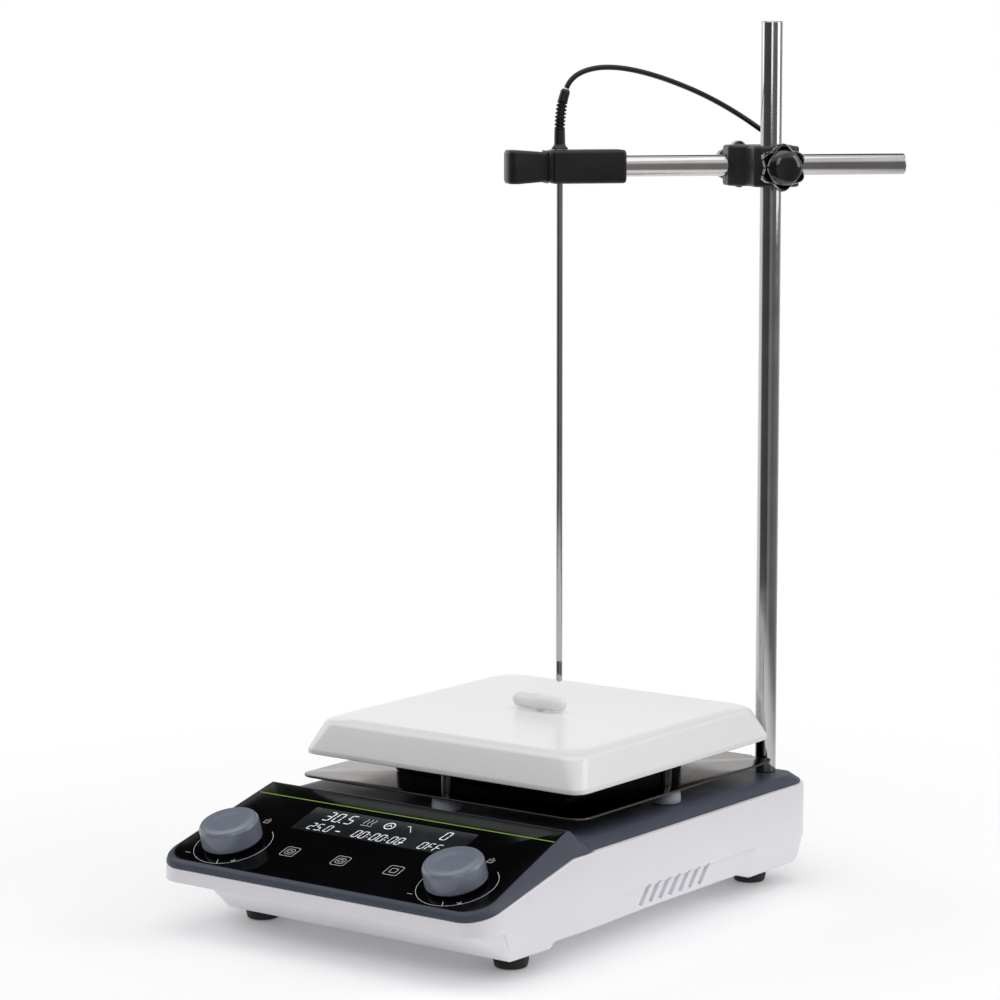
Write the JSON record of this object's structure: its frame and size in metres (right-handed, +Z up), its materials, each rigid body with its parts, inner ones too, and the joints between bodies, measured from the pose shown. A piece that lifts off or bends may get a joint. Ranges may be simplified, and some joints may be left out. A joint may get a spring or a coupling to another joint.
{
  "type": "magnetic stirrer",
  "caption": "Hot-plate magnetic stirrer with sloped control panel, push-turn dials, support rod, boss head, sliding arm and a temperature probe with its lead.",
  "frame": {"origin": "centre of the footprint of everything but the lead, on the bench under the feet", "axes": "+Z up; the control panel faces -Y; +X is to the right of a person who faces the panel"},
  "size_m": [0.2084, 0.315, 0.4083],
  "materials": {
    "shell": "satin lilac-white enamel",
    "cover": "slate-grey satin",
    "panel": "polished black film",
    "display": "dark liquid-crystal window",
    "module": "plain moulded module",
    "board": "green circuit board",
    "knob": "satin blue-grey",
    "shaft_steel": "turned steel",
    "foot": "black rubber",
    "post": "pale grey satin",
    "stainless": "bright rolled stainless sheet",
    "heater_black": "black heat-resistant paint",
    "enamel": "white glass-ceramic enamel",
    "insulation": "pressed mineral fibre",
    "element": "foil heating element",
    "brass": "turned brass",
    "motor": "grey motor casing",
    "carrier": "machined aluminium",
    "magnet": "nickel-plated magnet",
    "ptfe": "white fluoropolymer",
    "rod_steel": "bright drawn stainless",
    "boss": "dark grey powder coat",
    "handwheel": "gloss black moulded",
    "pad": "brass pressure pad",
    "holder": "matte black moulded",
    "relief": "soft black moulding",
    "lead": "black silicone lead",
    "connector": "black moulded connector",
    "rocker": "black moulded rocker"
  },
  "bodies": {
    "base": {"base_body": "shell", "top_cover": "cover", "front_panel": "panel", "display_window": "display", "display_module": "module", "left_encoder": "module", "right_encoder": "module", "panel_board": "board", "rod_socket": "brass", "front_left_foot": "foot", "front_right_foot": "foot", "rear_left_foot": "foot", "rear_right_foot": "foot", "front_post": "post", "right_post": "post", "rear_post": "post", "left_post": "post", "shield_plate": "stainless", "heater_housing": "heater_black", "backing_plate": "stainless", "top_plate": "enamel", "insulation_pad": "insulation", "heating_element": "element", "plate_sensor": "brass", "motor": "motor", "motor_bracket": "motor", "main_board": "board", "mains_inlet": "connector", "switch_frame": "connector", "probe_socket": "connector", "lead_bench": "lead", "lead_coil": "lead", "lead_plug": "connector", "lead_tail": "lead"},
    "stir_drive": {"drive_shaft": "shaft_steel", "magnet_carrier": "carrier", "drive_magnet_a": "magnet", "drive_magnet_b": "magnet"},
    "stir_bar": {"stirring_bar": "ptfe"},
    "left_plunger": {"left_knob_shaft": "shaft_steel"},
    "left_dial": {"left_knob": "knob"},
    "right_plunger": {"right_knob_shaft": "shaft_steel"},
    "right_dial": {"right_knob": "knob"},
    "stand": {"stand_rod": "rod_steel", "lead_drop": "lead"},
    "boss": {"boss_head": "boss", "lead_over_clamp": "lead"},
    "rod_screw": {"rod_pad": "pad"},
    "rod_handwheel": {"rod_knob": "handwheel"},
    "arm_screw": {"arm_pad": "pad"},
    "arm_handwheel": {"arm_knob": "handwheel"},
    "arm": {"arm_rod": "rod_steel", "lead_arch_c": "lead"},
    "holder": {"probe_holder": "holder", "lead_arch_b": "lead"},
    "clamp_nut": {"holder_nut": "holder"},
    "probe": {"probe_tube": "rod_steel", "strain_relief": "relief", "lead_arch_a": "lead"},
    "power_switch": {"rocker": "rocker"}
  },
  "joints": [
    {"name": "stir_spin", "type": "hinge", "parent": "base", "child": "stir_drive", "pos_m": [-0.009, 0.01105, 0.06], "axis": [0, 0, 1], "continuous": true},
    {"name": "bar_spin", "type": "hinge", "parent": "base", "child": "stir_bar", "pos_m": [-0.009, 0.01105, 0.0902], "axis": [0, 0, 1], "continuous": true},
    {"name": "left_press", "type": "slide", "parent": "base", "child": "left_plunger", "axis": [0, 0.299, -0.9542], "range_m": [0, 0.0008], "stiffness_N_per_m": 3000, "springref_m": -0.0007},
    {"name": "left_turn", "type": "hinge", "parent": "left_plunger", "child": "left_dial", "pos_m": [-0.0726, -0.13765, 0.04574], "axis": [0, -0.299, 0.9542], "continuous": true},
    {"name": "right_press", "type": "slide", "parent": "base", "child": "right_plunger", "axis": [0, 0.299, -0.9542], "range_m": [0, 0.0008], "stiffness_N_per_m": 3000, "springref_m": -0.0007},
    {"name": "right_turn", "type": "hinge", "parent": "right_plunger", "child": "right_dial", "pos_m": [0.0546, -0.13765, 0.04574], "axis": [0, -0.299, 0.9542], "continuous": true},
    {"name": "stand_swivel", "type": "hinge", "parent": "base", "child": "stand", "pos_m": [0.0632, 0.09605, 0.2], "axis": [0, 0, 1], "range_deg": [-60, 60], "deforming": ["lead_bench"]},
    {"name": "boss_height", "type": "slide", "parent": "stand", "child": "boss", "axis": [0, 0, 1], "range_m": [0, 0.055], "deforming": ["lead_drop", "lead_over_clamp"]},
    {"name": "rod_screw_travel", "type": "slide", "parent": "boss", "child": "rod_screw", "axis": [0.7337, -0.6794, 0], "range_m": [0, 0.0015]},
    {"name": "rod_handwheel_turn", "type": "hinge", "parent": "rod_screw", "child": "rod_handwheel", "pos_m": [0.07494, 0.08518, 0.341], "axis": [0.7337, -0.6794, 0], "range_deg": [0, 540]},
    {"name": "arm_screw_travel", "type": "slide", "parent": "boss", "child": "arm_screw", "axis": [-0.7337, 0.6794, 0], "range_m": [0, 0.0015]},
    {"name": "arm_handwheel_turn", "type": "hinge", "parent": "arm_screw", "child": "arm_handwheel", "pos_m": [0.04021, 0.10507, 0.341], "axis": [-0.7337, 0.6794, 0], "range_deg": [0, 540]},
    {"name": "arm_slide", "type": "slide", "parent": "boss", "child": "arm", "axis": [0.6794, 0.7337, 0], "range_m": [-0.03, 0.03], "deforming": ["lead_arch_c"]},
    {"name": "holder_roll", "type": "hinge", "parent": "arm", "child": "holder", "pos_m": [-0.01266, 0.03178, 0.341], "axis": [0.6794, 0.7337, 0], "range_deg": [-30, 30], "deforming": ["lead_arch_b"]},
    {"name": "clamp_nut_turn", "type": "hinge", "parent": "holder", "child": "clamp_nut", "pos_m": [-0.02578, 0.01762, 0.341], "axis": [0.6794, 0.7337, 0], "range_deg": [0, 90]},
    {"name": "probe_lift", "type": "slide", "parent": "holder", "child": "probe", "axis": [0, 0, 1], "range_m": [0, 0.04], "deforming": ["lead_arch_a"]},
    {"name": "switch_rock", "type": "hinge", "parent": "base", "child": "power_switch", "pos_m": [-0.021, 0.10045, 0.035], "axis": [1, 0, 0], "range_deg": [0, 16]}
  ],
  "couplings": [
    {"joint": "bar_spin", "follows": "stir_spin", "ratio": 1},
    {"joint": "rod_handwheel_turn", "follows": "rod_screw_travel", "rad_per_m": 6283.2},
    {"joint": "arm_handwheel_turn", "follows": "arm_screw_travel", "rad_per_m": 6283.2}
  ]
}
